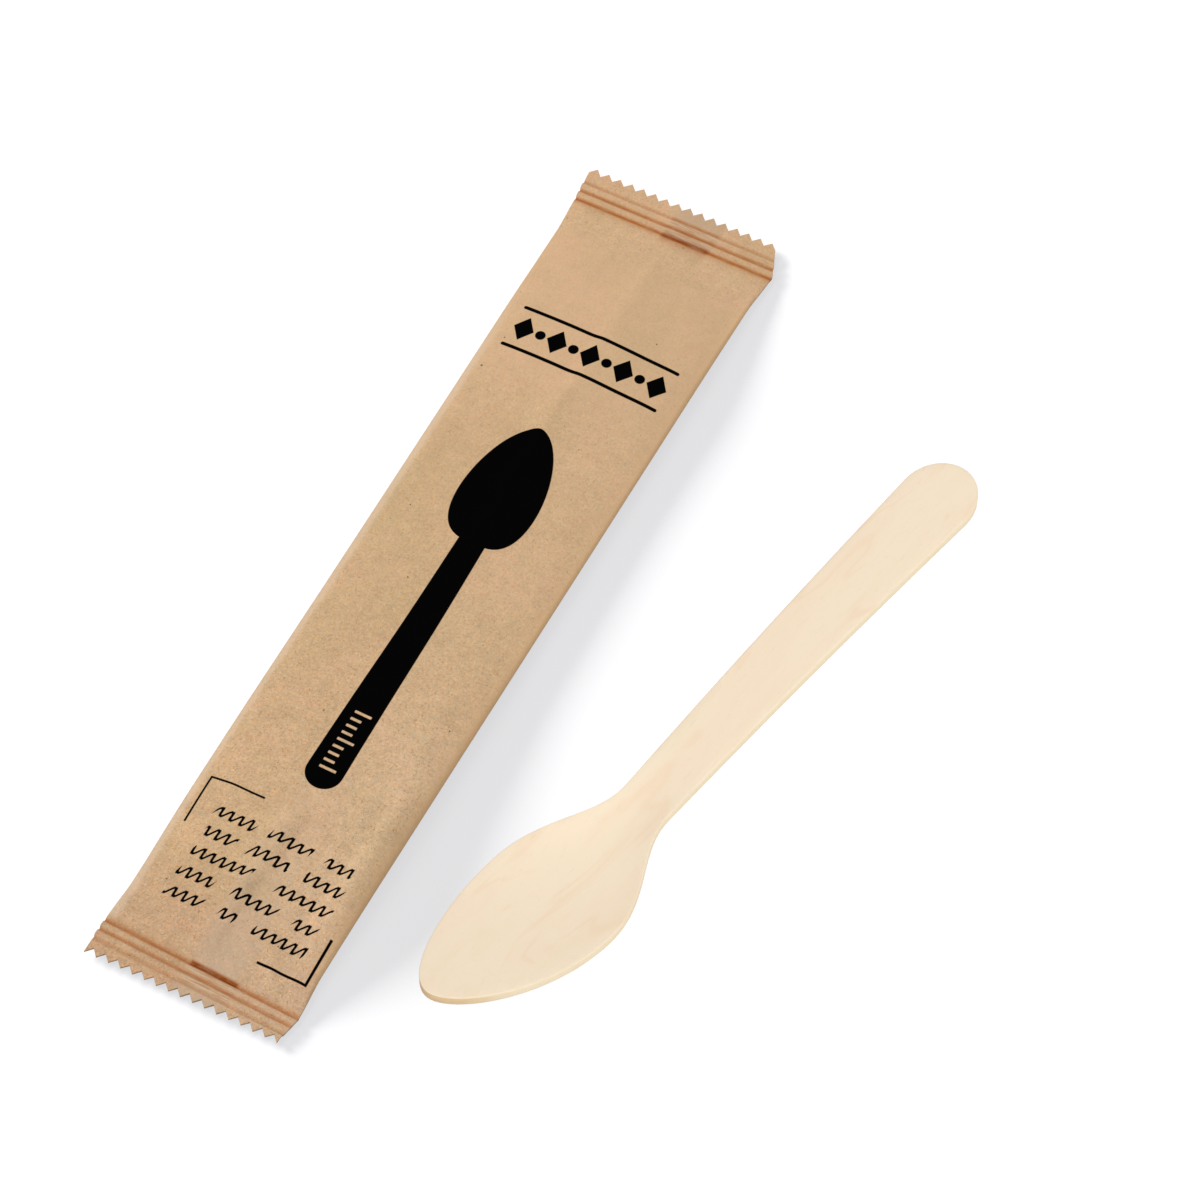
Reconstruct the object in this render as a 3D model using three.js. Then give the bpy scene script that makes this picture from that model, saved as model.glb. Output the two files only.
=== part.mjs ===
// Wooden spoon lying beside its sealed paper sachet.
// Millimetres, +Z up, the table top is z = 0, the sachet's length runs along Y.
import * as THREE from 'three';

// Sachet outline
const bodyLength = 132.2; // from inner crimp groove to inner crimp groove
const topWidth = 30.7; // across the top seal
const bottomWidth = 29.6; // across the bottom seal
const sideDraw = 0.38; // how much the filled tube pulls in on each side of the seals
const drawLength = 7; // over which the sides pull in

// Crimped end seals
const topSealDepth = 5.45; // from the inner groove to the tooth tips
const bottomSealDepth = 4.8;
const toothCount = 16;
const toothHeight = 0.95;
const toothRoot = 0.3; // plain paper behind the teeth
const grooveCount = 3;
const groovePitch = 1.45;
const crimpDepth = 0.16; // each way from the middle of the seal
const sealThickness = 0.3;
const sealHeight = 0.55; // middle of the seal above the table
const topSealSkew = 0.6; // rise of the grooves from left to right
const bottomSealSkew = -0.8;
const topCutSkew = 0.4; // rise of the cut edge from left to right
const bottomCutSkew = 0.2;
const skewFade = 2; // how fast the skew fades from a seal into the body
const topFlare = 0.55; // how far the left edge leans out by the top teeth
const topLean = 2; // how far the right edge leans in by the top teeth
const bottomFlare = 0.05;
const bottomLean = 0.95;

// Filled body of the sachet
const handleCrown = 3.1; // height over the handle that is packed inside
const bowlCrown = 4.7; // height over the bowl that is packed inside
const bowlCrownPlace = -36; // along the sachet
const bowlCrownReach = 24;
const sideFoldHeight = 1.05; // middle of the long side folds above the table
const sideFoldThickness = 0.3;
const endTaper = 24; // from a seal to the full height
const endRoundness = 0.9; // lower is rounder
const handleRidge = 0.35; // soft ridge over the handle inside
const handleRidgePlace = -1;
const handleRidgeReach = 3.2;
const shoulderPower = 2.9; // how square the filled section is
const foldSharpness = 9; // how late the back turns up to the side folds

// Back seam, a fin folded flat under the body
const finWidth = 7.2;
const finOffset = 1.9; // middle of the fin from the sachet's middle line
const finThickness = 0.3;
const finEase = 4; // over which the back falls from the fin to the table

// Spoon
const spoonLength = 111;
const bowlWidth = 19.4;
const bowlStation = 22.8; // widest place of the bowl, from the tip
const tipRoundness = 0.42; // share of the half width at which the blunt tip turns
const tipLean = 2.2; // the tip is cut this far off the spoon's axis
const leanFade = 2.5; // how fast that lean fades towards the neck
const neckWidth = 7.4;
const neckStation = 42;
const bowlShoulder = 0.46; // share of the waist along which the bowl keeps its width
const neckShoulder = 0.33; // share of the waist along which the neck keeps its width
const handleWidth = 10.5; // at the shoulder of the round end
const endReach = 6.5; // from the shoulder to the end
const veneerThickness = 1.8;
const dishDepth = 1.1; // hollow of the bowl below its rim
const bellyStation = 30; // lowest place of the bowl, from the tip
const dishReach = 24; // from the lowest place to where the hollow ends
const tipLift = 5; // of the rim at the tip, above the rim at the lowest place
const tipSweep = 1.8; // how late the rim rises towards the tip
const handleArch = 1.25; // of the handle above the straight line to its end

// Places on the table
const sideGap = 12; // from the sachet's side to the bowl
const bowlDrop = 36.5; // from the sachet's middle down to the bowl's widest place
const spoonTurn = 11.4; // degrees, the handle leans away from the sachet

// Mesh density
const columns = 2 * toothCount;
const bodySteps = 26;
const rowEvenness = 0.35; // 0 packs the body's rows towards the seals, 1 spaces them evenly
const spoonColumns = 12;
const curveSteps = 14;
const handleSteps = 12;

const { clamp, lerp, degToRad, smoothstep } = THREE.MathUtils;
const grooveY = bodyLength / 2;

// Replaces a unit block's grid of points by place(across, along, side), where across
// and along are counted in steps and side is 1 on the upper face and 0 on the lower one.
function shapedBlock(acrossSteps, alongSteps, place) {
  const geometry = new THREE.BoxGeometry(1, 1, 1, acrossSteps, alongSteps, 1);
  const points = geometry.attributes.position;
  for (let i = 0; i < points.count; i++) {
    const across = Math.round((points.getX(i) + 0.5) * acrossSteps);
    const along = Math.round((points.getY(i) + 0.5) * alongSteps);
    const side = points.getZ(i) > 0 ? 1 : 0;
    points.setXYZ(i, ...place(across, along, side));
  }
  geometry.computeVertexNormals();
  geometry.computeBoundingBox();
  return geometry;
}

// Rows of one end seal, from its inner groove out to the teeth. The crimp of a row is
// -1 in a groove and 1 on a rib. Tips is 1 where the even columns are tooth tips.
function sealRows(end, depth, sealSkew, cutSkew, flare, lean, tips) {
  const rows = [];
  const halfPitches = 2 * (grooveCount - 1);
  for (let k = 0; k <= halfPitches; k++) {
    const out = (k * groovePitch) / 2;
    rows.push({ out, skew: sealSkew, crimp: k % 2 ? 1 : -1, teeth: 0 });
  }
  rows.push({ out: depth - toothHeight - toothRoot, skew: cutSkew, crimp: 0, teeth: 0 });
  rows.push({ out: depth - toothHeight, skew: cutSkew, crimp: 0, teeth: 1 });
  for (const row of rows) {
    row.y = end * (grooveY + row.out);
    row.flare = (flare * row.out) / depth;
    row.lean = (lean * row.out) / depth;
    row.end = end;
    row.tips = tips;
  }
  return end > 0 ? rows : rows.reverse();
}

// Rows of the filled body, closer together towards the seals
function bodyRows() {
  const rows = [];
  for (let k = 1; k < bodySteps; k++) {
    const turn = (Math.PI * k) / bodySteps;
    const even = (2 * k) / bodySteps - 1;
    const y = grooveY * lerp(-Math.cos(turn), even, rowEvenness);
    const skew = (y > 0 ? topSealSkew : bottomSealSkew) * Math.abs(y / grooveY) ** skewFade;
    rows.push({ y, skew, crimp: 0, teeth: 0, flare: 0, lean: 0, end: 0, tips: 0 });
  }
  return rows;
}

const sachetRows = [
  ...sealRows(-1, bottomSealDepth, bottomSealSkew, bottomCutSkew, bottomFlare, bottomLean, 1),
  ...bodyRows(),
  ...sealRows(1, topSealDepth, topSealSkew, topCutSkew, topFlare, topLean, 0),
];

// 0 at the seals and 1 where the tube is full
function fullness(y) {
  const inward = clamp((grooveY - Math.abs(y)) / endTaper, 0, 1);
  return Math.sin((inward * Math.PI) / 2) ** endRoundness;
}

function halfWidthAt(y) {
  const paper = lerp(bottomWidth, topWidth, y / bodyLength + 0.5) / 2;
  return paper - sideDraw * smoothstep(grooveY - Math.abs(y), 0, drawLength);
}

// Height of the upper sheet of the filled body
function crownAt(x, y, half, full) {
  const fromBowl = (y - bowlCrownPlace) / bowlCrownReach;
  const crown = lerp(handleCrown, bowlCrown, Math.exp(-fromBowl * fromBowl));
  const section = (1 - Math.abs(x / half) ** shoulderPower) ** (1 / shoulderPower);
  const fold = lerp(sealHeight, sideFoldHeight, full);
  const fromRidge = (x - handleRidgePlace) / handleRidgeReach;
  const ridge = handleRidge * Math.exp(-fromRidge * fromRidge) * smoothstep(y, 0, grooveY / 2);
  const top = lerp(sealHeight + sealThickness / 2, crown + ridge * section, full);
  return lerp(fold + sideFoldThickness / 2, top, section);
}

// Height of the back sheet, which falls from the fin to the table and then up to the folds
function backAt(x, half, full) {
  const fromFin = Math.abs(x - finOffset) - finWidth / 2;
  const beside = finThickness * (1 - smoothstep(fromFin, 0, finEase));
  const lowered = fromFin > 0 ? beside : 0;
  const fold = (sideFoldHeight - sideFoldThickness / 2) * Math.abs(x / half) ** foldSharpness;
  return lerp(sealHeight - sealThickness / 2, Math.max(lowered, fold), full);
}

function sachetPoint(across, along, side) {
  const row = sachetRows[along];
  const half = halfWidthAt(clamp(row.y, -grooveY, grooveY));
  const x = lerp(-half - row.flare, half - row.lean, across / columns);
  const isTip = row.teeth && across % 2 === (row.tips ? 0 : 1);
  const y = row.y + (row.skew * x) / (2 * half) + (isTip ? row.end * toothHeight : 0);
  const full = fullness(row.y);
  if (full > 0) {
    const z = side ? crownAt(x, row.y, half, full) : backAt(x, half, full);
    return [x, y, z];
  }
  const middle = sealHeight + crimpDepth * row.crimp;
  return [x, y, middle + (side - 0.5) * sealThickness];
}

// Half outline of the spoon in plan, from the tip to the end of the handle
function spoonOutline() {
  const half = { bowl: bowlWidth / 2, neck: neckWidth / 2, handle: handleWidth / 2 };
  const shoulder = spoonLength - endReach;
  const blunt = half.bowl * tipRoundness;
  const outline = new THREE.Path();
  outline.moveTo(0, 0);
  outline.bezierCurveTo(0, blunt, bowlStation / 2, half.bowl, bowlStation, half.bowl);
  const waist = neckStation - bowlStation;
  const leave = bowlStation + waist * bowlShoulder;
  const arrive = neckStation - waist * neckShoulder;
  outline.bezierCurveTo(leave, half.bowl, arrive, half.neck, neckStation, half.neck);
  for (let k = 1; k <= handleSteps; k++) {
    const share = k / handleSteps;
    outline.lineTo(lerp(neckStation, shoulder, share), lerp(half.neck, half.handle, share));
  }
  outline.absellipse(shoulder, 0, endReach, half.handle, Math.PI / 2, 0, true);
  return outline.getPoints(curveSteps).slice(1, -1);
}

const spoonRows = spoonOutline();

// Height of the underside at the rim, above the table
function rimHeight(station) {
  if (station < bellyStation) {
    return dishDepth + tipLift * (1 - station / bellyStation) ** tipSweep;
  }
  const share = (station - bellyStation) / (spoonLength - bellyStation);
  return dishDepth * (1 - share) + handleArch * Math.sin(Math.PI * share);
}

function dishAt(station) {
  const away = clamp(Math.abs(station - bellyStation) / dishReach, 0, 1);
  return dishDepth * Math.cos((away * Math.PI) / 2) ** 2;
}

function spoonPoint(across, along, side) {
  const row = spoonRows[along];
  const share = (2 * across) / spoonColumns - 1;
  const hollow = dishAt(row.x) * (1 - share * share);
  const lean = tipLean * clamp(1 - row.x / neckStation, 0, 1) ** leanFade;
  const z = rimHeight(row.x) - hollow + side * veneerThickness;
  return [share * row.y - lean, row.x - bowlStation, z];
}

function paperSachet() {
  const geometry = shapedBlock(columns, sachetRows.length - 1, sachetPoint);
  const kraft = new THREE.MeshStandardMaterial({ color: 0xd0ae88, roughness: 0.85, metalness: 0 });
  const mesh = new THREE.Mesh(geometry, kraft);
  mesh.name = 'paper_sachet';
  return mesh;
}

function woodenSpoon() {
  const geometry = shapedBlock(spoonColumns, spoonRows.length - 1, spoonPoint);
  const birch = new THREE.MeshStandardMaterial({ color: 0xf2dfc2, roughness: 0.6, metalness: 0 });
  const mesh = new THREE.Mesh(geometry, birch);
  mesh.name = 'wooden_spoon';
  mesh.position.x = halfWidthAt(-bowlDrop) + sideGap + bowlWidth / 2;
  mesh.position.y = -bowlDrop;
  mesh.position.z = -geometry.boundingBox.min.z;
  mesh.rotation.z = -degToRad(spoonTurn);
  return mesh;
}

// The set's origin is on the table, under the middle of its box
const cutleryPack = new THREE.Group();
cutleryPack.add(paperSachet(), woodenSpoon());
cutleryPack.updateMatrixWorld(true);
const middle = new THREE.Box3().setFromObject(cutleryPack, true).getCenter(new THREE.Vector3());
cutleryPack.position.set(-middle.x, -middle.y, 0);

export default cutleryPack;
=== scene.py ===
import math

import bpy
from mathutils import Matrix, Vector, noise


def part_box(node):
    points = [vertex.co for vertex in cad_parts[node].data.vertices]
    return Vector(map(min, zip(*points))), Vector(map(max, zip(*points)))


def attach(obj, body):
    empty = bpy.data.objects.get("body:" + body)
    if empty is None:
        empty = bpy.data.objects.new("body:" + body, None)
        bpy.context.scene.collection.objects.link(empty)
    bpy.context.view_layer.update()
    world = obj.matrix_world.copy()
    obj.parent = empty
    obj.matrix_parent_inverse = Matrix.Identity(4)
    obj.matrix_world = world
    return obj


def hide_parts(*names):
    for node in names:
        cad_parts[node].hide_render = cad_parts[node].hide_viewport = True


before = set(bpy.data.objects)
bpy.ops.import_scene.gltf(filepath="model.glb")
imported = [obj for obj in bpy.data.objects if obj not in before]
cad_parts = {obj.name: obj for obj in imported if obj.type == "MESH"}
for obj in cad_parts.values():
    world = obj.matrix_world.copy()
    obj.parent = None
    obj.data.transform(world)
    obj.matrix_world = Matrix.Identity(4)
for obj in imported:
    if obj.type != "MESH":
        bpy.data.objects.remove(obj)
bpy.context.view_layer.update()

# All sizes are millimetres, and angles are degrees
MM = 0.001

# Sachet outline, as the frame has it
BODY_LENGTH = 132.2
GROOVE_Y = BODY_LENGTH / 2
TOP_WIDTH = 30.7
BOTTOM_WIDTH = 29.6
SIDE_DRAW = 0.38
DRAW_LENGTH = 7

# Crimped end seals: depth, grooves, skews of the grooves and of the cut, and lean of the two edges
TOP_SEAL = dict(end=1, depth=5.45, first_groove=-0.25, pitch=1.53, groove_skew=0.6, cut_skew=0.4,
                flare=0.55, lean=2.0, first_tip=1)
BOTTOM_SEAL = dict(end=-1, depth=4.8, first_groove=0.0, pitch=1.45, groove_skew=-0.8, cut_skew=0.2,
                   flare=0.05, lean=0.95, first_tip=0)
TOOTH_COUNT = 16
TOOTH_HEIGHT = 0.95
TOOTH_UNEVEN = 0.05
GROOVE_COUNT = 3
GROOVE_WIDTH = 0.27
GROOVE_DEPTH = 0.2
RIB_HEIGHT = 0.08
RIB_REACH = 0.1  # how far the ribs stand out at the seal's two ends
SEAL_THICKNESS = 0.3
SEAL_HEIGHT = 0.55

# Filled body of the sachet: the packed spoon's handle shows as a low ridge, its bowl as a crown
HANDLE_CROWN = 3.1
BOWL_CROWN = 4.7
BOWL_CROWN_PLACE = -36
BOWL_CROWN_REACH = 24
FOLD_HEIGHT = 1.05
FOLD_THICKNESS = 0.3
END_TAPER = 24
TAPER_POWER = 0.9
HANDLE_RIDGE = 0.34
HANDLE_RIDGE_PLACE = 0.4
HANDLE_RIDGE_REACH = (1.2, 5.0)  # to the left and to the right
SHOULDER_POWER = 2.9
FOLD_POWER = 9  # how closely the back's lift keeps to the folds
BACK_LIFT = 0.12

# Back seam
FIN_WIDTH = 7.2
FIN_OFFSET = 1.9
FIN_THICKNESS = 0.3
FIN_PRESSED = 0.9  # share of its thickness that the folded fin keeps
FIN_EASE = 4
FIN_WAVER = 0.12  # how far the fin's free edge strays, and over what length
FIN_WAVER_LENGTH = 9
FIN_RIPPLE = 0.03
FIN_IMPRINT = 0.1  # how far the fin stands out through the front of the seals
FIN_EDGE = 0.3  # softness of the fin's imprint, and of its shade on the body
FIN_SHADE_EDGE = 1.4

# Tints that the hot crimping jaws leave, groove by groove from the inner one: on plain paper
# and over the fin. Then how far the inner groove's tint fades into the body, its reach and power
# there over the fin, the tint all over the seal, how pale the ribs are over the fin, and how far
# the fin greys the body.
TOP_SEAL.update(tints=(1.0, 0.86, 0.44), fin_tints=(1.45, 0.95, 0.76), burn=0.45, fin_burn=(0.72, 1),
                wash=0.16, pale=0.5, grey=1.2)
BOTTOM_SEAL.update(tints=(0.8, 0.67, 0.32), fin_tints=(1.15, 0.8, 0.42), burn=0.3, fin_burn=(0.56, 4),
                   wash=0.06, pale=0.6, grey=22)
BURN_WIDTH = 1.15 * GROOVE_WIDTH
BURN_ROUND = 0.1
DEEP_BURN = (-1.2, -0.3, 0.5, 0.8)  # where the deep brown over the fin fades in and out
RIB_TINT = 0.06

# Painted light along the right fold, on the flank away from the key: strength, how far it fades in at
# the bottom and at the top, and where it starts beside the seals. Then a painted highlight beside the
# left fold: strength, width, where it starts beside the seals and where it ends towards the top.
RIGHT_FOLD_PAINTED_LIGHT = 0.9
FOLD_LIGHT = (0.7, 0.42)
FOLD_START = (0.5, 9)
LEFT_FOLD_PAINTED_LIGHT = 0.44
PALE_WIDTH = 1.7
PALE_START = (0, 1.5)
PALE_END = (30, 52)

# Crumple of the paper: wave lengths across and along, and height
CRUMPLES = ((11, 17, 0.10), (4.5, 7, 0.035), (1.7, 2.3, 0.012))
PUCKER_WIDTH = 2.1
PUCKER_REACH = 7
PUCKER_LENGTH = 16
PUCKER_START = 1.5
PUCKER_HEIGHT = 0.16
# Long soft creases: the two ends, height, and reach to the left and to the right. Each fades
# over a share of its length, and all of them over the last stretch before the seals.
CREASE_FADE = (-0.08, 0.2)
CREASE_STOP = 2
CREASES = (
    ((1.2, -40.5), (-0.3, -55.6), 0.7, 2.5, 1.4),
    ((-0.3, -52.0), (-0.35, -65.0), 0.45, 2.6, 1.0),
    ((12.3, -30.0), (12.9, -66.0), 0.5, 1.6, 1.7),
    ((10.5, -33.0), (9.3, -58.0), -0.26, 1.6, 1.1),
    ((-0.9, 34.5), (-1.2, 26.5), 0.55, 1.4, 1.8),
    ((7.5, -59.0), (9.5, -65.0), 0.22, 1.2, 1.0),
    ((-4.5, -57.0), (-6.5, -65.0), 0.2, 1.5, 1.3),
    ((-9.5, -36.0), (-8.0, -48.0), 0.2, 1.8, 1.4),
    ((6.5, 60.0), (9.5, 52.0), 0.12, 1.6, 2.4),
    ((-10.4, 25.0), (-11.4, 6.0), -0.2, 1.6, 2.2),
    ((8.6, -6.0), (10.4, -30.0), 0.16, 1.8, 2.0),
    ((9.8, 20.0), (10.2, 0.0), 0.12, 1.6, 2.2),
)

# Spoon. Stations are measured from the bowl's tip along the spoon, and the pulls set how full
# the curve is from the bowl into the neck.
SPOON_LENGTH = 111
BOWL_WIDTH = 19.4
BOWL_STATION = 22.8
TIP_ROUNDNESS = 0.42
TIP_LEAN = 2.2
TIP_LEAN_POWER = 2.5
BOWL_PULL = 0.46
NECK_PULL = 0.33
NECK_WIDTH = 7.4
NECK_STATION = 42
HANDLE_WIDTH = 10.5
END_REACH = 6.5
VENEER = 1.8
DISH_DEPTH = 1.1
BELLY_STATION = 30
DISH_REACH = 24
TIP_LIFT = 5
TIP_LIFT_POWER = 1.8
HANDLE_ARCH = 1.25
RIM_ROUNDING = 0.22
EDGE_NORMAL = 0.55  # faces that stand steeper than this are the punched edge

# Places on the table
SIDE_GAP = 12
BOWL_DROP = 36.5
SPOON_TURN = 11.4

# Print on the front, placed from the sachet's middle with u to the right and v to the top
INK_EDGE = 0.05
BOWL_TIP = 27.3
BOWL_FOOT = 6.7
BOWL_SIZE = 10.32
BOWL_FOOT_POWER = 0.31
BOWL_TIP_POWER = 0.55
PRINT_SLANT = -0.014
PRINT_MIDDLE = 0.35
NECK_HALF = 2.0
HANDLE_WIDENING = 0.0163
HANDLE_END = -34.6
HANDLE_END_HALF = 2.66
NECK_OVERLAP = 3
TICKS = 9
TICK_PITCH = 1.2
TICK_START = -34.0
TICK_LEFT = -0.3
TICK_REACHES = (1.25, 0.8, 0.8, 0.8)  # half lengths of each long mark and the three after it
TICK_HALF = 0.2
TICK_ROUND = 0.1
ORNAMENT_V = 41.2
ORNAMENT_REACH = 12.2
ORNAMENT_PITCH = 5.2
DIAMOND_HALF = 1.55
DIAMOND_SLOPE = 0.75
DOT_RADIUS = 0.75
LINE_OFFSET = 3.4
LINE_HALF = 0.28
WAVE_V = -46.1
WAVE_ROW = 3.1
# Left and right end of each wavy pen line, row by row
PEN_LINES = (
    ((-9.1, -3.0), (-0.8, 5.3), (7.5, 11.7)),
    ((-9.2, -4.4), (-2.2, 3.8), (6.0, 11.7)),
    ((-9.3, -0.2), (3.6, 11.6)),
    ((-9.5, -4.2), (-1.3, 5.1), (7.8, 11.1)),
    ((-9.6, -4.3), (-1.6, 0.8), (3.5, 11.4)),
)
WAVE_SWING = 0.58
WAVE_PITCH = 1.5
WAVE_LINE = 0.38  # width of the pen's line
WAVE_SLANT = 0.45
WAVE_SHIFT = 0.4  # how far each row's waves start from those above
WAVE_UNEVEN = 1.6
# Corner brackets: place, arms to the side and to the end, and half the pen's width
CORNERS = (((-12.3, -41.8), (8.0, -7.3), 0.16), ((13.45, -62.2), (-7.1, 7.1), 0.19))
CORNER_ROUND = 0.05

# Mesh density
COLUMNS = 6 * TOOTH_COUNT
BODY_ROWS = 300
ROW_EVENNESS = 0.35
COLUMN_GATHER = 0.6
SEAL_ROW = 0.11
FIN_COLUMNS = 14
TIP_STEPS = 60
WAIST_STEPS = 40
END_STEPS = 32
SPOON_RIM_POINTS = 420
SPOON_CUT_ALONG = 1.2
SPOON_CUT_ACROSS = 1.1
PAPER_SMOOTH_ANGLE = 50
VENEER_SMOOTH_ANGLE = 32


def lerp(a, b, share):
    return a + (b - a) * share


def clamp(value, low=0.0, high=1.0):
    return min(max(value, low), high)


def smoothstep(low, high, value):
    share = clamp((value - low) / (high - low))
    return share * share * (3 - 2 * share)


def deselect_all():
    if bpy.context.mode != "OBJECT":
        bpy.ops.object.mode_set(mode="OBJECT")
    bpy.ops.object.select_all(action="DESELECT")


def flat_block(name, columns, rows):
    """A unit block of one layer, cut into columns and rows, with faces on all sides."""
    deselect_all()
    bpy.ops.mesh.primitive_grid_add(x_subdivisions=columns, y_subdivisions=rows, size=1)
    block = bpy.context.object
    block.name = name
    block.data.name = name
    bpy.ops.object.mode_set(mode="EDIT")
    bpy.ops.mesh.select_all(action="SELECT")
    bpy.ops.mesh.extrude_region_move(TRANSFORM_OT_translate={"value": (0, 0, 1)})
    bpy.ops.mesh.select_all(action="SELECT")
    bpy.ops.mesh.normals_make_consistent(inside=False)
    bpy.ops.object.mode_set(mode="OBJECT")
    return block


def shape(block, columns, rows, place, marks, origin):
    """Moves each point of a block by place(across, along, side), with side 1 on its upper face.
    Marks gives the values, from 0 to 1, that the material reads there."""
    kept = {}
    for vertex in block.data.vertices:
        across = round((vertex.co.x + 0.5) * columns)
        along = round((vertex.co.y + 0.5) * rows)
        side = 1 if vertex.co.z > 0.5 else 0
        point = place(across, along, side)
        for name, value in marks(along, side, point[0]).items():
            kept.setdefault(name, []).append(value)
        vertex.co = (Vector(point) + origin) * MM
    for name, values in kept.items():
        attribute = block.data.attributes.new(name, "FLOAT", "POINT")
        attribute.data.foreach_set("value", values)


def finish_mesh(piece, angle):
    """Shades a piece smooth over edges that turn less than angle."""
    deselect_all()
    piece.select_set(True)
    bpy.context.view_layer.objects.active = piece
    bpy.ops.object.shade_smooth_by_angle(angle=math.radians(angle))
    piece.select_set(False)


# Sachet

def seal_rows(seal):
    """Rows of one seal, from just outside its inner groove to the cut edge."""
    reach = seal["depth"] - TOOTH_HEIGHT
    steps = round(reach / SEAL_ROW)
    rows = []
    for k in range(1, steps + 1):
        out = reach * k / steps
        to_cut = smoothstep(2 * seal["pitch"], reach, out)
        skew = lerp(seal["groove_skew"], seal["cut_skew"], to_cut)
        rows.append(dict(y=seal["end"] * (GROOVE_Y + out), out=out, skew=skew, seal=seal, cut=k == steps))
    return rows if seal["end"] > 0 else rows[::-1]


def body_rows():
    """Rows of the filled body, closer together towards the seals."""
    rows = []
    for k in range(BODY_ROWS + 1):
        spread = -math.cos(math.pi * k / BODY_ROWS)
        even = 2 * k / BODY_ROWS - 1
        y = GROOVE_Y * lerp(spread, even, ROW_EVENNESS)
        seal = TOP_SEAL if y > 0 else BOTTOM_SEAL
        skew = seal["groove_skew"] * abs(y / GROOVE_Y) ** 2
        rows.append(dict(y=y, out=abs(y) - GROOVE_Y, skew=skew, seal=seal, cut=False))
    return rows


SACHET_ROWS = seal_rows(BOTTOM_SEAL) + body_rows() + seal_rows(TOP_SEAL)


def fullness(y):
    """0 at the seals and 1 where the tube is full."""
    inward = clamp((GROOVE_Y - abs(y)) / END_TAPER)
    return math.sin(inward * math.pi / 2) ** TAPER_POWER


def half_width(y):
    """Half the sachet's width, drawn in a little where the body fills out."""
    paper = lerp(BOTTOM_WIDTH, TOP_WIDTH, y / BODY_LENGTH + 0.5) / 2
    return paper - SIDE_DRAW * smoothstep(0, DRAW_LENGTH, GROOVE_Y - abs(y))


def nearest_groove(out, seal):
    """Number of the nearest groove, and how far out from it a row is."""
    inner = seal["first_groove"]
    number = int(clamp(round((out - inner) / seal["pitch"]), 0, GROOVE_COUNT - 1))
    return number, out - inner - number * seal["pitch"]


def groove(out, seal):
    """1 at the bottom of a groove and 0 beside it."""
    _, away = nearest_groove(out, seal)
    return math.exp(-((away / GROOVE_WIDTH) ** 2))


def rib(out, seal):
    """1 on the ribs between the grooves, 0 on the body and towards the teeth."""
    inner = seal["first_groove"]
    last = inner + (GROOVE_COUNT - 1) * seal["pitch"]
    band = smoothstep(inner, inner + GROOVE_WIDTH, out) * (1 - smoothstep(last, last + GROOVE_WIDTH, out))
    return band * (1 - groove(out, seal))


def burn(out, seal, band):
    """How strongly the jaws have browned the paper, more over the fin's band."""
    number, away = nearest_groove(out, seal)
    browned = max(math.exp(-((away / BURN_WIDTH) ** 2)), seal["wash"])
    if number == 0 and away < 0:
        reach, power = seal["fin_burn"]
        plain = math.exp((BURN_ROUND - math.hypot(away, BURN_ROUND)) / seal["burn"])
        browned = lerp(plain, math.exp(-((-away / reach) ** power)), band)
    return browned * lerp(seal["tints"][number], seal["fin_tints"][number], band)


def fin_band(x, soft=FIN_EDGE):
    """1 over the fin, 0 beside it."""
    from_edge = abs(x - FIN_OFFSET) - FIN_WIDTH / 2
    return 1 - smoothstep(-soft, soft, from_edge)


def crumple(x, y, layer):
    """Uneven height of crumpled paper. Layer 0 is the front and 1 the back."""
    height = 0
    for across, along, size in CRUMPLES:
        height += size * noise.noise(Vector((x / across, y / along, layer * 9.3 + across)))
    return height


def pucker(x, y, layer):
    """Short folds that run into the body from the seals."""
    inward = GROOVE_Y - abs(y)
    fade = math.exp(-inward / PUCKER_REACH) * smoothstep(0, PUCKER_START, inward)
    wave = noise.noise(Vector((x / PUCKER_WIDTH, inward / PUCKER_LENGTH, layer * 5.1 + math.copysign(3, y))))
    return PUCKER_HEIGHT * fade * wave


def creases(x, y):
    height = 0
    for (x0, y0), (x1, y1), size, left, right in CREASES:
        share = clamp((y - y0) / (y1 - y0))
        across = x - lerp(x0, x1, share)
        reach = right if across > 0 else left
        beyond = max(y - max(y0, y1), min(y0, y1) - y, 0) / 2
        fade = smoothstep(*CREASE_FADE, share) * smoothstep(*CREASE_FADE, 1 - share)
        height += size * fade * math.exp(-((across / reach) ** 2) - beyond * beyond)
    return height


def front_height(x, y, half, full):
    from_bowl = (y - BOWL_CROWN_PLACE) / BOWL_CROWN_REACH
    crown = lerp(HANDLE_CROWN, BOWL_CROWN, math.exp(-from_bowl * from_bowl))
    section = (1 - clamp(abs(x / half)) ** SHOULDER_POWER) ** (1 / SHOULDER_POWER)
    fold = lerp(SEAL_HEIGHT, FOLD_HEIGHT, full) + FOLD_THICKNESS / 2
    from_ridge = (x - HANDLE_RIDGE_PLACE) / HANDLE_RIDGE_REACH[x > HANDLE_RIDGE_PLACE]
    ridge = HANDLE_RIDGE * math.exp(-from_ridge * from_ridge) * smoothstep(0, GROOVE_Y / 2, y)
    top = lerp(SEAL_HEIGHT + SEAL_THICKNESS / 2, crown + ridge * section, full)
    creased = smoothstep(0, CREASE_STOP, GROOVE_Y - abs(y)) * creases(x, y)
    bumps = full * crumple(x, y, 0) + pucker(x, y, 0) + creased
    return lerp(fold, top, section) + section * bumps


def back_height(x, y, half, full):
    from_fin = max(abs(x - FIN_OFFSET) - FIN_WIDTH / 2, 0)
    beside = FIN_THICKNESS * (1 - smoothstep(0, FIN_EASE, from_fin))
    fold = (FOLD_HEIGHT - FOLD_THICKNESS / 2) * abs(x / half) ** FOLD_POWER
    level = lerp(SEAL_HEIGHT - SEAL_THICKNESS / 2, max(beside, fold), full)
    lifted = full * (BACK_LIFT + crumple(x, y, 1)) * smoothstep(0, FIN_EASE, from_fin)
    return max(level + lifted * (1 - abs(x / half) ** FOLD_POWER) + pucker(x, y, 1), 0)


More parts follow.
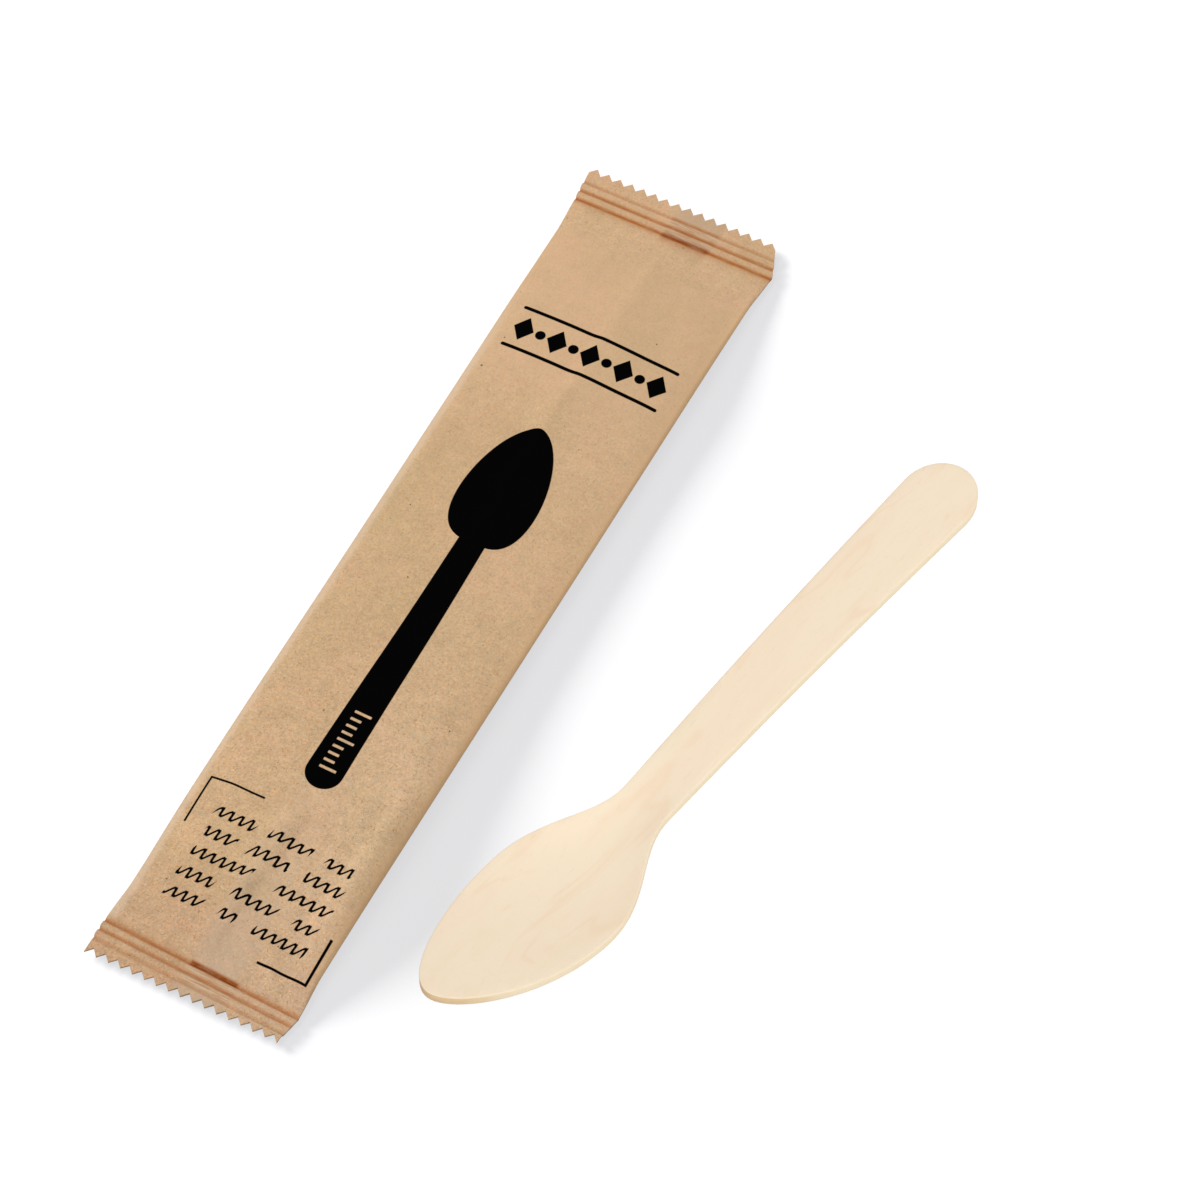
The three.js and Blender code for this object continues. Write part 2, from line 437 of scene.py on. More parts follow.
def tooth(across, seal):
    """Height of the saw-tooth edge at a column, from 0 in a valley to 1 at a tip."""
    place = across * 2 * TOOTH_COUNT / COLUMNS
    from_tip = abs((place - seal["first_tip"] + 1) % 2 - 1)
    uneven = TOOTH_UNEVEN * noise.noise(Vector((place / 2 + 0.3, seal["end"] * 4.7, 0)))
    return (1 - from_tip) * (1 + uneven) + uneven


def sachet_place(across, along, side):
    """Place of the point at a column and a row, on the front or on the back."""
    row = SACHET_ROWS[along]
    seal = row["seal"]
    y = row["y"]
    out = row["out"]
    half = half_width(clamp(y, -GROOVE_Y, GROOVE_Y))
    full = fullness(y)
    share = across / COLUMNS
    gathered = 0.5 - 0.5 * math.cos(math.pi * share)
    share = lerp(share, gathered, COLUMN_GATHER * full)
    spread = max(out, 0) / seal["depth"]
    step = RIB_REACH * rib(out, seal)
    x = lerp(-half - seal["flare"] * spread - step, half - seal["lean"] * spread + step, share)
    height_of = front_height if side else back_height
    z = height_of(x, y, half + abs(step) + seal["flare"] * spread, full)
    if out > -1:
        z += RIB_HEIGHT * rib(out, seal) - GROOVE_DEPTH * groove(out, seal)
        if out > 0 and side:
            z += FIN_IMPRINT * fin_band(x)
    shown = y + row["skew"] * x / (2 * half)
    if row["cut"]:
        shown += seal["end"] * TOOTH_HEIGHT * tooth(across, seal)
    return x, shown, max(z, 0)


def fin_place(across, along, side):
    """The seam's two layers, folded flat to one side under the body and pressed into the seals."""
    row = SACHET_ROWS[along]
    y = row["y"]
    half = half_width(clamp(y, -GROOVE_Y, GROOVE_Y))
    full = fullness(y)
    share = across / FIN_COLUMNS
    loose = FIN_WAVER * noise.noise(Vector((y / FIN_WAVER_LENGTH, 2.2, 0)))
    x = FIN_OFFSET + lerp(-FIN_WIDTH / 2, FIN_WIDTH / 2 + loose, share)
    seal_back = SEAL_HEIGHT - SEAL_THICKNESS / 2 - FIN_IMPRINT
    ripple = FIN_RIPPLE * (1 + math.sin(2 * math.pi * y)) * (1 - full ** 4)
    under = lerp(seal_back, 0, full) + ripple
    under += RIB_HEIGHT * rib(row["out"], row["seal"]) - GROOVE_DEPTH * groove(row["out"], row["seal"])
    shown = y + row["skew"] * x / (2 * half)
    return x, shown, max(under, 0) + side * FIN_THICKNESS * FIN_PRESSED


def sachet_origin():
    """Puts the outline's left edge and top teeth on those of the CAD box."""
    low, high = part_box("paper_sachet")
    seal = TOP_SEAL
    spread = 1 - TOOTH_HEIGHT / seal["depth"]
    left = -TOP_WIDTH / 2 - seal["flare"] * spread
    right = TOP_WIDTH / 2 - seal["lean"] * spread
    last_tip = lerp(left, right, 1 - 1 / (2 * TOOTH_COUNT))
    top = GROOVE_Y + seal["depth"] + seal["cut_skew"] * last_tip / TOP_WIDTH
    return Vector((low.x / MM - left, high.y / MM - top, 0))


def paper_marks(along, side, x):
    """Where the crimping and the fin have tinted the paper, and the painted light along the long folds."""
    row = SACHET_ROWS[along]
    out = row["out"]
    y = row["y"]
    seal = row["seal"]
    half = half_width(clamp(y, -GROOVE_Y, GROOVE_Y))
    band = fin_band(x)
    fade = lerp(*FOLD_LIGHT, clamp(y / BODY_LENGTH + 0.5))
    # painted light along the right fold, strongest at its edge and fading inward
    right_fold_light = math.exp(-max(half - x, 0) / fade) * smoothstep(*FOLD_START, -out)
    # painted highlight in a strip beside the left fold
    pale = smoothstep(half - PALE_WIDTH, half - PALE_WIDTH / 2, -x)
    pale *= smoothstep(*PALE_START, -out) * (1 - smoothstep(*PALE_END, y))
    deep_in, deep_full, deep_on, deep_out = DEEP_BURN
    return {
        "groove": clamp(burn(out, seal, band)),
        "rib": rib(out, seal) * lerp(RIB_TINT, seal["pale"], band),
        "fin": band * smoothstep(deep_in, deep_full, out) * (1 - smoothstep(deep_on, deep_out, out)),
        "fin_shade": fin_band(x, FIN_SHADE_EDGE) * math.exp(-max(-out, 0) / seal["grey"]),
        # the two fold marks are painted light along the long folds
        "fold": RIGHT_FOLD_PAINTED_LIGHT * right_fold_light,
        "fold_pale": LEFT_FOLD_PAINTED_LIGHT * pale,
        "front": side,
    }


def fin_marks(along, side, x):
    marks = paper_marks(along, side, x)
    marks.update({"fin": 0, "fin_shade": 0.2, "fold": 0, "fold_pale": 0, "front": 0})
    return marks


def paper_sachet(origin):
    rows = len(SACHET_ROWS) - 1
    body = flat_block("sachet_body", COLUMNS, rows)
    shape(body, COLUMNS, rows, sachet_place, paper_marks, origin)
    finish_mesh(body, PAPER_SMOOTH_ANGLE)
    fin = flat_block("sachet_back_fin", FIN_COLUMNS, rows)
    shape(fin, FIN_COLUMNS, rows, fin_place, fin_marks, origin)
    finish_mesh(fin, PAPER_SMOOTH_ANGLE)
    return body, fin


# Spoon

def bezier(start, leave, arrive, end, share):
    """A point of a curve that sets out towards leave and comes in from arrive."""
    rest = 1 - share
    points = (start, leave, arrive, end)
    weights = (rest**3, 3 * rest * rest * share, 3 * rest * share * share, share**3)
    return tuple(sum(w * p[axis] for w, p in zip(weights, points)) for axis in (0, 1))


def half_outline():
    """Right half of the outline, as (station, half width) from the tip to the handle's end."""
    bowl = BOWL_WIDTH / 2
    neck = NECK_WIDTH / 2
    handle = HANDLE_WIDTH / 2
    shoulder = SPOON_LENGTH - END_REACH
    waist = NECK_STATION - BOWL_STATION
    points = []
    widest = (BOWL_STATION, bowl)
    narrowest = (NECK_STATION, neck)
    for k in range(TIP_STEPS):
        leave, arrive = (0, bowl * TIP_ROUNDNESS), (BOWL_STATION / 2, bowl)
        points.append(bezier((0, 0), leave, arrive, widest, k / TIP_STEPS))
    for k in range(WAIST_STEPS):
        leave, arrive = (BOWL_STATION + waist * BOWL_PULL, bowl), (NECK_STATION - waist * NECK_PULL, neck)
        points.append(bezier(widest, leave, arrive, narrowest, k / WAIST_STEPS))
    points.append(narrowest)
    for k in range(END_STEPS + 1):
        turn = math.pi / 2 * k / END_STEPS
        points.append((shoulder + END_REACH * math.sin(turn), handle * math.cos(turn)))
    return points


def even_points(points, count):
    """The same open line, with count points at equal steps."""
    lengths = [0]
    for a, b in zip(points, points[1:]):
        lengths.append(lengths[-1] + math.dist(a, b))
    even = []
    at = 0
    for k in range(count):
        goal = lengths[-1] * k / (count - 1)
        while at < len(points) - 2 and lengths[at + 1] < goal:
            at += 1
        share = (goal - lengths[at]) / (lengths[at + 1] - lengths[at])
        even.append(tuple(lerp(points[at][axis], points[at + 1][axis], share) for axis in (0, 1)))
    return even


def rim_height(station):
    """Height of the veneer's underside at the spoon's rim, off the table."""
    if station < BELLY_STATION:
        return DISH_DEPTH + TIP_LIFT * (1 - station / BELLY_STATION) ** TIP_LIFT_POWER
    share = (station - BELLY_STATION) / (SPOON_LENGTH - BELLY_STATION)
    return DISH_DEPTH * (1 - share) + HANDLE_ARCH * math.sin(math.pi * share)


def dish_at(station):
    """How far the bowl's middle is pressed below its rim."""
    away = clamp(abs(station - BELLY_STATION) / DISH_REACH)
    return DISH_DEPTH * math.cos(away * math.pi / 2) ** 2


def cut_lines(low, high, step):
    """Places of the cuts between low and high, about a step apart."""
    count = int((high - low) / step)
    return [low + (high - low) * k / count for k in range(1, count)]


def width_at(widths, station):
    """Half width of the outline at a station."""
    for (s0, w0), (s1, w1) in zip(widths, widths[1:]):
        if s0 <= station <= s1:
            return lerp(w0, w1, (station - s0) / max(s1 - s0, 1e-9))
    return 0


def wooden_spoon(origin):
    """Punched from flat veneer, its rims rounded over, then pressed into its dish and arch."""
    half = even_points(half_outline(), SPOON_RIM_POINTS // 2 + 1)
    outline = half + [(station, -width) for station, width in half[-2:0:-1]]
    deselect_all()
    bpy.ops.mesh.primitive_circle_add(vertices=len(outline), radius=1, fill_type="NGON")
    spoon = bpy.context.object
    spoon.name = "spoon"
    spoon.data.name = "spoon"
    for vertex, (station, width) in zip(spoon.data.vertices, outline):
        vertex.co = (width, station, 0)
    bpy.ops.object.mode_set(mode="EDIT")
    bpy.ops.mesh.select_all(action="SELECT")
    bpy.ops.mesh.extrude_region_move(TRANSFORM_OT_translate={"value": (0, 0, VENEER)})
    bpy.ops.mesh.select_all(action="SELECT")
    bpy.ops.mesh.normals_make_consistent(inside=False)
    bpy.ops.mesh.select_mode(type="EDGE")
    bpy.ops.mesh.select_all(action="DESELECT")
    bpy.ops.object.mode_set(mode="OBJECT")
    for edge in spoon.data.edges:
        heights = [spoon.data.vertices[v].co.z for v in edge.vertices]
        edge.select = abs(heights[0] - heights[1]) < VENEER / 2
    bpy.ops.object.mode_set(mode="EDIT")
    bpy.ops.mesh.bevel(offset=RIM_ROUNDING, segments=3, profile=0.5, affect="EDGES")
    cuts = [((0, s, 0), (0, 1, 0)) for s in cut_lines(0, SPOON_LENGTH, SPOON_CUT_ALONG)]
    reach = BOWL_WIDTH / 2
    cuts += [((x, 0, 0), (1, 0, 0)) for x in cut_lines(-reach, reach, SPOON_CUT_ACROSS)]
    for place, normal in cuts:
        bpy.ops.mesh.select_all(action="SELECT")
        bpy.ops.mesh.bisect(plane_co=place, plane_no=normal)
    bpy.ops.object.mode_set(mode="OBJECT")
    widths = sorted(half)
    turn = math.radians(SPOON_TURN)
    for vertex in spoon.data.vertices:
        across, station, up = vertex.co
        share = clamp(abs(across) / max(width_at(widths, station), 0.01))
        hollow = dish_at(station) * (1 - share * share)
        lean = TIP_LEAN * clamp(1 - station / NECK_STATION) ** TIP_LEAN_POWER
        x = across - lean
        y = station - BOWL_STATION
        turned = Vector((
            x * math.cos(turn) + y * math.sin(turn),
            y * math.cos(turn) - x * math.sin(turn),
            rim_height(station) - hollow + up,
        ))
        vertex.co = (turned + origin) * MM
    for face in spoon.data.polygons:
        face.material_index = 1 if abs(face.normal.z) < EDGE_NORMAL else 0
    finish_mesh(spoon, VENEER_SMOOTH_ANGLE)
    return spoon


# Materials

def srgb(red, green, blue):
    """A colour of 0 to 255 a channel as the shader's linear values."""
    def linear(value):
        value /= 255
        return value / 12.92 if value <= 0.04045 else ((value + 0.055) / 1.055) ** 2.4
    return (linear(red), linear(green), linear(blue), 1)


KRAFT = srgb(210, 175, 137)
KRAFT_WARM = srgb(216, 176, 140)
KRAFT_GREY = srgb(206, 173, 133)
PAINTED_SHADE_RIGHT = srgb(250, 252, 251)  # painted shade over the right half; this and the three tones below are shares of white
# Painted shade over the lower left, which dims the flank that the key lights
PAINTED_SHADE_LOW_LEFT = srgb(246, 248, 244)
KRAFT_FOOT = srgb(249, 244, 249)
# Painted light over the lower right, which lifts the flank that the key leaves in shade
PAINTED_LIGHT_LOW_RIGHT = srgb(254, 259, 262)
FIBRE_LIGHT = srgb(233, 206, 168)
FIBRE_DARK = srgb(158, 116, 74)
SPECK = srgb(92, 70, 50)
GROOVE_BROWN = srgb(170, 96, 30)
GROOVE_DEEP = srgb(144, 70, 10)
RIB_PALE = srgb(212, 190, 158)
FIN_GREY = srgb(193, 171, 145)
# Painted light along the right fold, on the flank that faces away from the key
PAINTED_LIGHT_RIGHT_FOLD = srgb(250, 206, 156)
# Painted highlight beside the left fold
PAINTED_LIGHT_LEFT_FOLD = srgb(226, 202, 176)
INK = srgb(2, 2, 2)
BIRCH = srgb(245, 227, 200)
BIRCH_PINK = srgb(244, 221, 195)
BIRCH_VEIN = srgb(242, 215, 184)
BIRCH_HONEY = srgb(241, 222, 190)
PORE = srgb(214, 186, 150)
# The edge's own pale yellow, set lighter still as painted light on the punched walls
EDGE_PALE_AND_PAINTED_LIGHT = srgb(255, 238, 206)
EDGE_HONEY = srgb(232, 196, 146)

# Broad tones of the front, painted shade and painted light over the camber and a plain tone at the foot:
# where each fades in across and along the sachet, and its tone
BROAD_TONES_AND_PAINTED_SHADING = (
    ((-1.5, 1.5), (-32, -10), PAINTED_SHADE_RIGHT),
    ((4, -4), (38, 22), PAINTED_SHADE_LOW_LEFT),
    ((3, 9), (-12, -28), PAINTED_LIGHT_LOW_RIGHT),
    (None, (-50, -62), KRAFT_FOOT),
)
# The texture shows least round the ornament and most towards the foot. Each row is where it
# changes along the sachet and from what to what, and the rows are added up.
ROUGH_FADES = ((57, 62, 0, 0.5), (38, 29, 0, 0.5), (25, -40, 0.6, 1.3))
FIBRE_TURNS = (0.2, 1.2, 2.3)  # radians
LIGHT_FIBRES = dict(Across=0.18, Along=0.6, Low=0.62, High=0.76)
DARK_FIBRES = dict(Across=0.15, Along=0.55, Low=0.62, High=0.75)
PORES = dict(Across=0.11, Along=2.2, Low=0.64, High=0.78)
EDGE_CRUMBS = dict(Across=0.2, Along=0.2, Low=0.6, High=0.8)
TIP_SHADE = (-21.5, -14)  # where the edge turns from honey to pale, from the tip along the spoon


class Nodes:
    """Short ways to add nodes to one tree. Any input takes a number or another node's output."""

    def __init__(self, tree):
        self.tree = tree

    def add(self, kind, feeds, **settings):
        node = self.tree.nodes.new("ShaderNode" + kind)
        for name, value in settings.items():
            setattr(node, name, value)
        for socket, value in feeds.items():
            self.feed(node.inputs[socket], value)
        return node.outputs

    def feed(self, socket, value):
        if isinstance(value, bpy.types.NodeSocket):
            self.tree.links.new(value, socket)
        else:
            socket.default_value = value

    def math(self, operation, *values):
        return self.add("Math", dict(enumerate(values)), operation=operation)[0]

    def vector(self, operation, *values):
        return self.add("VectorMath", dict(enumerate(values)), operation=operation)[0]

    def scaled(self, vector, factors):
        return self.vector("MULTIPLY", vector, factors)

    def moved(self, vector, offset):
        return self.vector("ADD", vector, offset)

    def turned(self, vector, angle):
        return self.add("VectorRotate", {"Vector": vector, "Angle": angle}, rotation_type="Z_AXIS")[0]

    def minus(self, a, b):
        return self.math("SUBTRACT", a, b)

    def absolute(self, value):
        return self.math("ABSOLUTE", value)

    def most(self, a, b):
        return self.math("MAXIMUM", a, b)

    def length(self, a, b):
        return self.math("SQRT", self.plus(self.times(a, a), self.times(b, b)))

    def inside(self, distance, limit=0.0):
        """1 where distance is under limit, with an edge as soft as the ink's."""
        return self.ramp(distance, limit - INK_EDGE, limit + INK_EDGE, 1, 0)

    def split(self, vector):
        return tuple(self.add("SeparateXYZ", {0: vector}))

    def noise(self, vector, size, detail=2.0, roughness=0.5, distortion=0.0):
        """Cloudy values from 0 to 1, with spots about as wide as size."""
        feeds = {"Vector": vector, "Scale": 1 / size, "Detail": detail}
        feeds.update({"Roughness": roughness, "Distortion": distortion})
        return self.add("TexNoise", feeds)[0]

    def ramp(self, value, low, high, start=0.0, end=1.0):
        """Smooth step of value, from start at low to end at high."""
        feeds = {0: value, 1: low, 2: high, 3: start, 4: end}
        return self.add("MapRange", feeds, interpolation_type="SMOOTHSTEP")[0]

    def mix(self, factor, a, b, blend="MIX"):
        feeds = {0: factor, 6: a, 7: b}
        return self.add("Mix", feeds, data_type="RGBA", blend_type=blend)[2]

    def times(self, *values):
        product = values[0]
        for value in values[1:]:
            product = self.math("MULTIPLY", product, value)
        return product

    def plus(self, *values):
        total = values[0]
        for value in values[1:]:
            total = self.math("ADD", total, value)
        return total

    def attribute(self, name):
        return self.add("Attribute", {}, attribute_name=name, attribute_type="GEOMETRY")[2]

    def bump(self, height, strength):
        """The surface's normal, from a height in millimetres."""
        feeds = {"Height": self.times(height, MM), "Distance": 1.0, "Strength": strength}
        return self.add("Bump", feeds)[0]

    def use(self, group, **feeds):
        node = self.tree.nodes.new("ShaderNodeGroup")
        node.node_tree = group
        for name, value in feeds.items():
            self.feed(node.inputs[name], value)
        return node.outputs[0]


def new_group(name, inputs, output):
    """An empty node group with number and vector inputs and one number out."""
    tree = bpy.data.node_groups.new(name, "ShaderNodeTree")
    for socket in inputs:
        kind = "NodeSocketVector" if socket == "Vector" else "NodeSocketFloat"
        tree.interface.new_socket(socket, in_out="INPUT", socket_type=kind)
    tree.interface.new_socket(output, in_out="OUTPUT", socket_type="NodeSocketFloat")
    return tree, tree.nodes.new("NodeGroupInput").outputs, tree.nodes.new("NodeGroupOutput").inputs[0]


def flecks_group():
    """Sparse fine streaks lying at one angle, such as fibres or pores."""
    names = ("Vector", "Turn", "Across", "Along", "Low", "High")
    tree, given, out = new_group("flecks", names, "Mask")
    nodes = Nodes(tree)
    turned = nodes.turned(given["Vector"], given["Turn"])
    size = nodes.add("CombineXYZ", {0: given["Across"], 1: given["Along"], 2: given["Across"]})[0]
    field = nodes.noise(nodes.vector("DIVIDE", turned, size), 1, 1.5, 0.5, 0.6)
    tree.links.new(nodes.ramp(field, given["Low"], given["High"]), out)
    return tree


def bar_group():
    """A rounded bar of ink: 1 inside, 0 outside."""
    names = ("Vector", "Middle X", "Middle Y", "Half Width", "Half Height", "Radius")
    tree, given, out = new_group("printed_bar", names, "Mask")
    nodes = Nodes(tree)
    middle = nodes.add("CombineXYZ", {0: given["Middle X"], 1: given["Middle Y"]})[0]
    half = nodes.add("CombineXYZ", {0: given["Half Width"], 1: given["Half Height"]})[0]
    from_middle = nodes.vector("ABSOLUTE", nodes.vector("SUBTRACT", given["Vector"], middle))
    x, y, _ = nodes.split(nodes.vector("SUBTRACT", from_middle, half))
    x = nodes.most(nodes.plus(x, given["Radius"]), 0)
    y = nodes.most(nodes.plus(y, given["Radius"]), 0)
    distance = nodes.minus(nodes.length(x, y), given["Radius"])
    tree.links.new(nodes.inside(distance), out)
    return tree


def printed_spoon(nodes, u, v):
    """An egg for the bowl and a bar that widens to a round end for the handle."""
    middle = nodes.plus(nodes.times(v, PRINT_SLANT), PRINT_MIDDLE)
    side = nodes.absolute(nodes.minus(u, middle))
    share = nodes.add("MapRange", {0: v, 1: BOWL_FOOT, 2: BOWL_TIP})[0]
    to_tip = nodes.minus(1, share)
    egg = nodes.times(nodes.math("POWER", share, BOWL_FOOT_POWER),
                      nodes.math("POWER", to_tip, BOWL_TIP_POWER), BOWL_SIZE)
    in_bowl = nodes.times(nodes.inside(nodes.minus(side, egg)),
                          nodes.math("GREATER_THAN", share, 0), nodes.math("LESS_THAN", share, 1))
    half = nodes.plus(nodes.times(nodes.minus(BOWL_FOOT, v), HANDLE_WIDENING), NECK_HALF)
    half = nodes.math("MINIMUM", half, HANDLE_END_HALF)
    below = nodes.math("MINIMUM", nodes.minus(v, HANDLE_END), 0)
    in_handle = nodes.times(nodes.inside(nodes.minus(nodes.length(side, below), half)),
                            nodes.math("LESS_THAN", v, BOWL_FOOT + NECK_OVERLAP))
    return nodes.most(in_bowl, in_handle)


def printed_bar(nodes, bar, place, middle, half, radius):
    """A bar of ink, with its middle and half sizes as (u, v)."""
    return nodes.use(bar, **{
        "Vector": place, "Radius": radius, "Middle X": middle[0], "Middle Y": middle[1],
        "Half Width": half[0], "Half Height": half[1],
    })


def printed_ticks(nodes, bar, place):
    """Marks of a plain rule, left unprinted near the end of the handle."""
    ticks = 0.0
    for k in range(TICKS):
        half = TICK_REACHES[k % len(TICK_REACHES)]
        middle = (TICK_LEFT + half, TICK_START + k * TICK_PITCH)
        ticks = nodes.plus(ticks, printed_bar(nodes, bar, place, middle, (half, TICK_HALF), TICK_ROUND))
    return ticks


def printed_ornament(nodes, bar, place, u, v):
    """A plain border of diamonds and dots between two lines."""
    within = nodes.inside(nodes.absolute(u), ORNAMENT_REACH)
    in_repeat = nodes.math("FLOORED_MODULO", nodes.plus(u, ORNAMENT_PITCH / 2), ORNAMENT_PITCH)
    along = nodes.absolute(nodes.minus(in_repeat, ORNAMENT_PITCH / 2))
    up = nodes.absolute(nodes.minus(v, ORNAMENT_V))
    diamond = nodes.inside(nodes.plus(along, nodes.times(up, DIAMOND_SLOPE)), DIAMOND_HALF)
    dot = nodes.inside(nodes.length(nodes.minus(along, ORNAMENT_PITCH / 2), up), DOT_RADIUS)
    pattern = nodes.times(nodes.most(diamond, dot), within)
    for offset in (-LINE_OFFSET, LINE_OFFSET):
        middle, half = (0, ORNAMENT_V + offset), (ORNAMENT_REACH, LINE_HALF)
        pattern = nodes.most(pattern, printed_bar(nodes, bar, place, middle, half, LINE_HALF))
    return pattern


def printed_waves(nodes, u, v):
    """Short wavy pen lines in rows."""
    from_first = nodes.plus(nodes.minus(WAVE_V, v), WAVE_ROW / 2)
    row_v = nodes.minus(WAVE_ROW / 2, nodes.math("FLOORED_MODULO", from_first, WAVE_ROW))
    row = nodes.math("FLOOR", nodes.math("DIVIDE", from_first, WAVE_ROW))
    slanted = nodes.minus(u, nodes.times(row_v, WAVE_SLANT))
    turns = 2 * math.pi / WAVE_PITCH
    phase = nodes.times(nodes.plus(slanted, nodes.times(row, WAVE_SHIFT)), turns)
    uneven = nodes.noise(nodes.add("CombineXYZ", {0: u, 1: row})[0], WAVE_UNEVEN)
    swing = nodes.times(nodes.plus(uneven, 0.5), WAVE_SWING)
    height = nodes.absolute(nodes.minus(row_v, nodes.times(swing, nodes.math("SINE", phase))))
    slope = nodes.times(swing, turns, nodes.math("COSINE", phase))
    ink = nodes.inside(nodes.math("DIVIDE", height, nodes.length(slope, 1)), WAVE_LINE / 2)
    shown = 0.0
    for k, lines in enumerate(PEN_LINES):
        in_row = nodes.math("COMPARE", row, k, 0.1)
        for left, right in lines:
            beside = nodes.absolute(nodes.minus(slanted, (left + right) / 2))
            in_line = nodes.math("LESS_THAN", beside, (right - left) / 2)
            shown = nodes.plus(shown, nodes.times(in_row, in_line))
    return nodes.times(ink, shown)


def printed_corners(nodes, bar, place):
    """Two corner brackets that face each other."""
    corners = 0.0
    for (x, y), (to_side, to_end), half in CORNERS:
        level = ((x + to_side / 2, y), (abs(to_side) / 2 + half, half))
        upright = ((x, y + to_end / 2), (half, abs(to_end) / 2))
        for middle, sizes in (level, upright):
            corners = nodes.most(corners, printed_bar(nodes, bar, place, middle, sizes, CORNER_ROUND))
    return corners


def front_print(nodes, bar, place, u, v):
    """All the ink, on the sachet's front only."""
    ink = nodes.most(printed_corners(nodes, bar, place), printed_waves(nodes, u, v))
    ink = nodes.most(ink, printed_ornament(nodes, bar, place, u, v))
    spoon = nodes.minus(printed_spoon(nodes, u, v), printed_ticks(nodes, bar, place))
    return nodes.times(nodes.most(ink, spoon), nodes.attribute("front"))


def millimetres(nodes, origin, turn=0.0):
    """The piece's own place in millimetres from origin, turned about it."""
    place = nodes.add("TexCoord", {})["Object"]
    moved = nodes.add("Mapping", {"Vector": place, "Location": -origin, "Scale": (1 / MM,) * 3})[0]
    return nodes.turned(moved, math.radians(turn))


def new_material(name, roughness, specular):
    """A material, ways to add nodes to it, and its shader."""
    material = bpy.data.materials.new(name)
    material.use_nodes = True
    shader = material.node_tree.nodes["Principled BSDF"]
    shader.inputs["Roughness"].default_value = roughness
    shader.inputs["Specular IOR Level"].default_value = specular
    return material, Nodes(material.node_tree), shader


def kraft_tones_and_painted_shading(nodes, flat, u, v):
    """The paper's plain colour in soft clouds, with the broad painted shade, painted light and foot tone
    over them.
    """
    colour = nodes.mix(nodes.ramp(nodes.noise(flat, 16, 3), 0.35, 0.65), KRAFT_WARM, KRAFT_GREY)
    colour = nodes.mix(nodes.ramp(nodes.noise(flat, 4.5, 3), 0.3, 0.7), colour, KRAFT)
    # Painted shade and painted light over the camber, and a plain tone at the foot
    for fade_u, fade_v, shade in BROAD_TONES_AND_PAINTED_SHADING:
        share = nodes.times(nodes.ramp(u, *fade_u) if fade_u else 1.0, nodes.ramp(v, *fade_v))
        colour = nodes.mix(share, colour, nodes.mix(1.0, colour, shade, "MULTIPLY"))
    return colour


def kraft_grain(nodes, colour, flat, rough, fine, soft):
    """Mottles the paper in three sizes of spots, some warmer and some cooler."""
    broad = nodes.noise(nodes.moved(flat, (63, 2, 0)), 4.2)
    tone = 0.0
    for field, strength in ((fine, 0.34), (soft, 0.2), (broad, 0.16)):
        tone = nodes.plus(tone, nodes.times(nodes.minus(field, 0.5), strength))
    tone = nodes.plus(nodes.times(tone, rough), 1)
    tint = nodes.minus(nodes.noise(nodes.moved(flat, (31, 7, 0)), 0.9), 0.5)
    tint = nodes.times(tint, rough, 0.16)
    warm, cool = nodes.plus(tone, tint), nodes.minus(tone, tint)
    return nodes.mix(1.0, colour, nodes.add("CombineColor", {0: warm, 1: tone, 2: cool})[0], "MULTIPLY")


def kraft_fibres(nodes, flecks, place, turn_by, sizes):
    """A mask of fibres that lie in three directions."""
    mask = 0.0
    for k, turn in enumerate(FIBRE_TURNS):
        shifted = nodes.moved(place, (k * 13.7, k * 5.1, 0))
        mask = nodes.most(mask, nodes.use(flecks, Vector=shifted, Turn=turn + turn_by, **sizes))
    return mask


def crimp_tints_and_painted_fold_light(nodes, colour, flat):
    """Browns the grooves, greys the fin's place, pales the ribs over it and paints light along both folds.
    """
    patchy = nodes.ramp(nodes.noise(nodes.scaled(flat, (0.45, 3, 1)), 1.1, 3, 0.65), 0.3, 0.6, 0.7, 1)
    streaks = nodes.ramp(nodes.noise(nodes.scaled(flat, (0.3, 4, 1)), 0.9, 3, 0.7), 0.4, 0.62)
    ribs = nodes.attribute("rib")
    deep = nodes.mix(nodes.attribute("fin"), GROOVE_BROWN, GROOVE_DEEP)
    for share, tint in (
        (nodes.times(nodes.attribute("fin_shade"), patchy, 0.6), FIN_GREY),
        # painted highlight beside the left fold
        (nodes.attribute("fold_pale"), PAINTED_LIGHT_LEFT_FOLD),
        (nodes.times(ribs, patchy), RIB_PALE),
        (nodes.times(ribs, streaks, 0.9), GROOVE_BROWN),
        (nodes.times(nodes.attribute("groove"), patchy), deep),
        # painted light along the right fold
        (nodes.attribute("fold"), PAINTED_LIGHT_RIGHT_FOLD),
    ):
        colour = nodes.mix(share, colour, tint)
    return colour


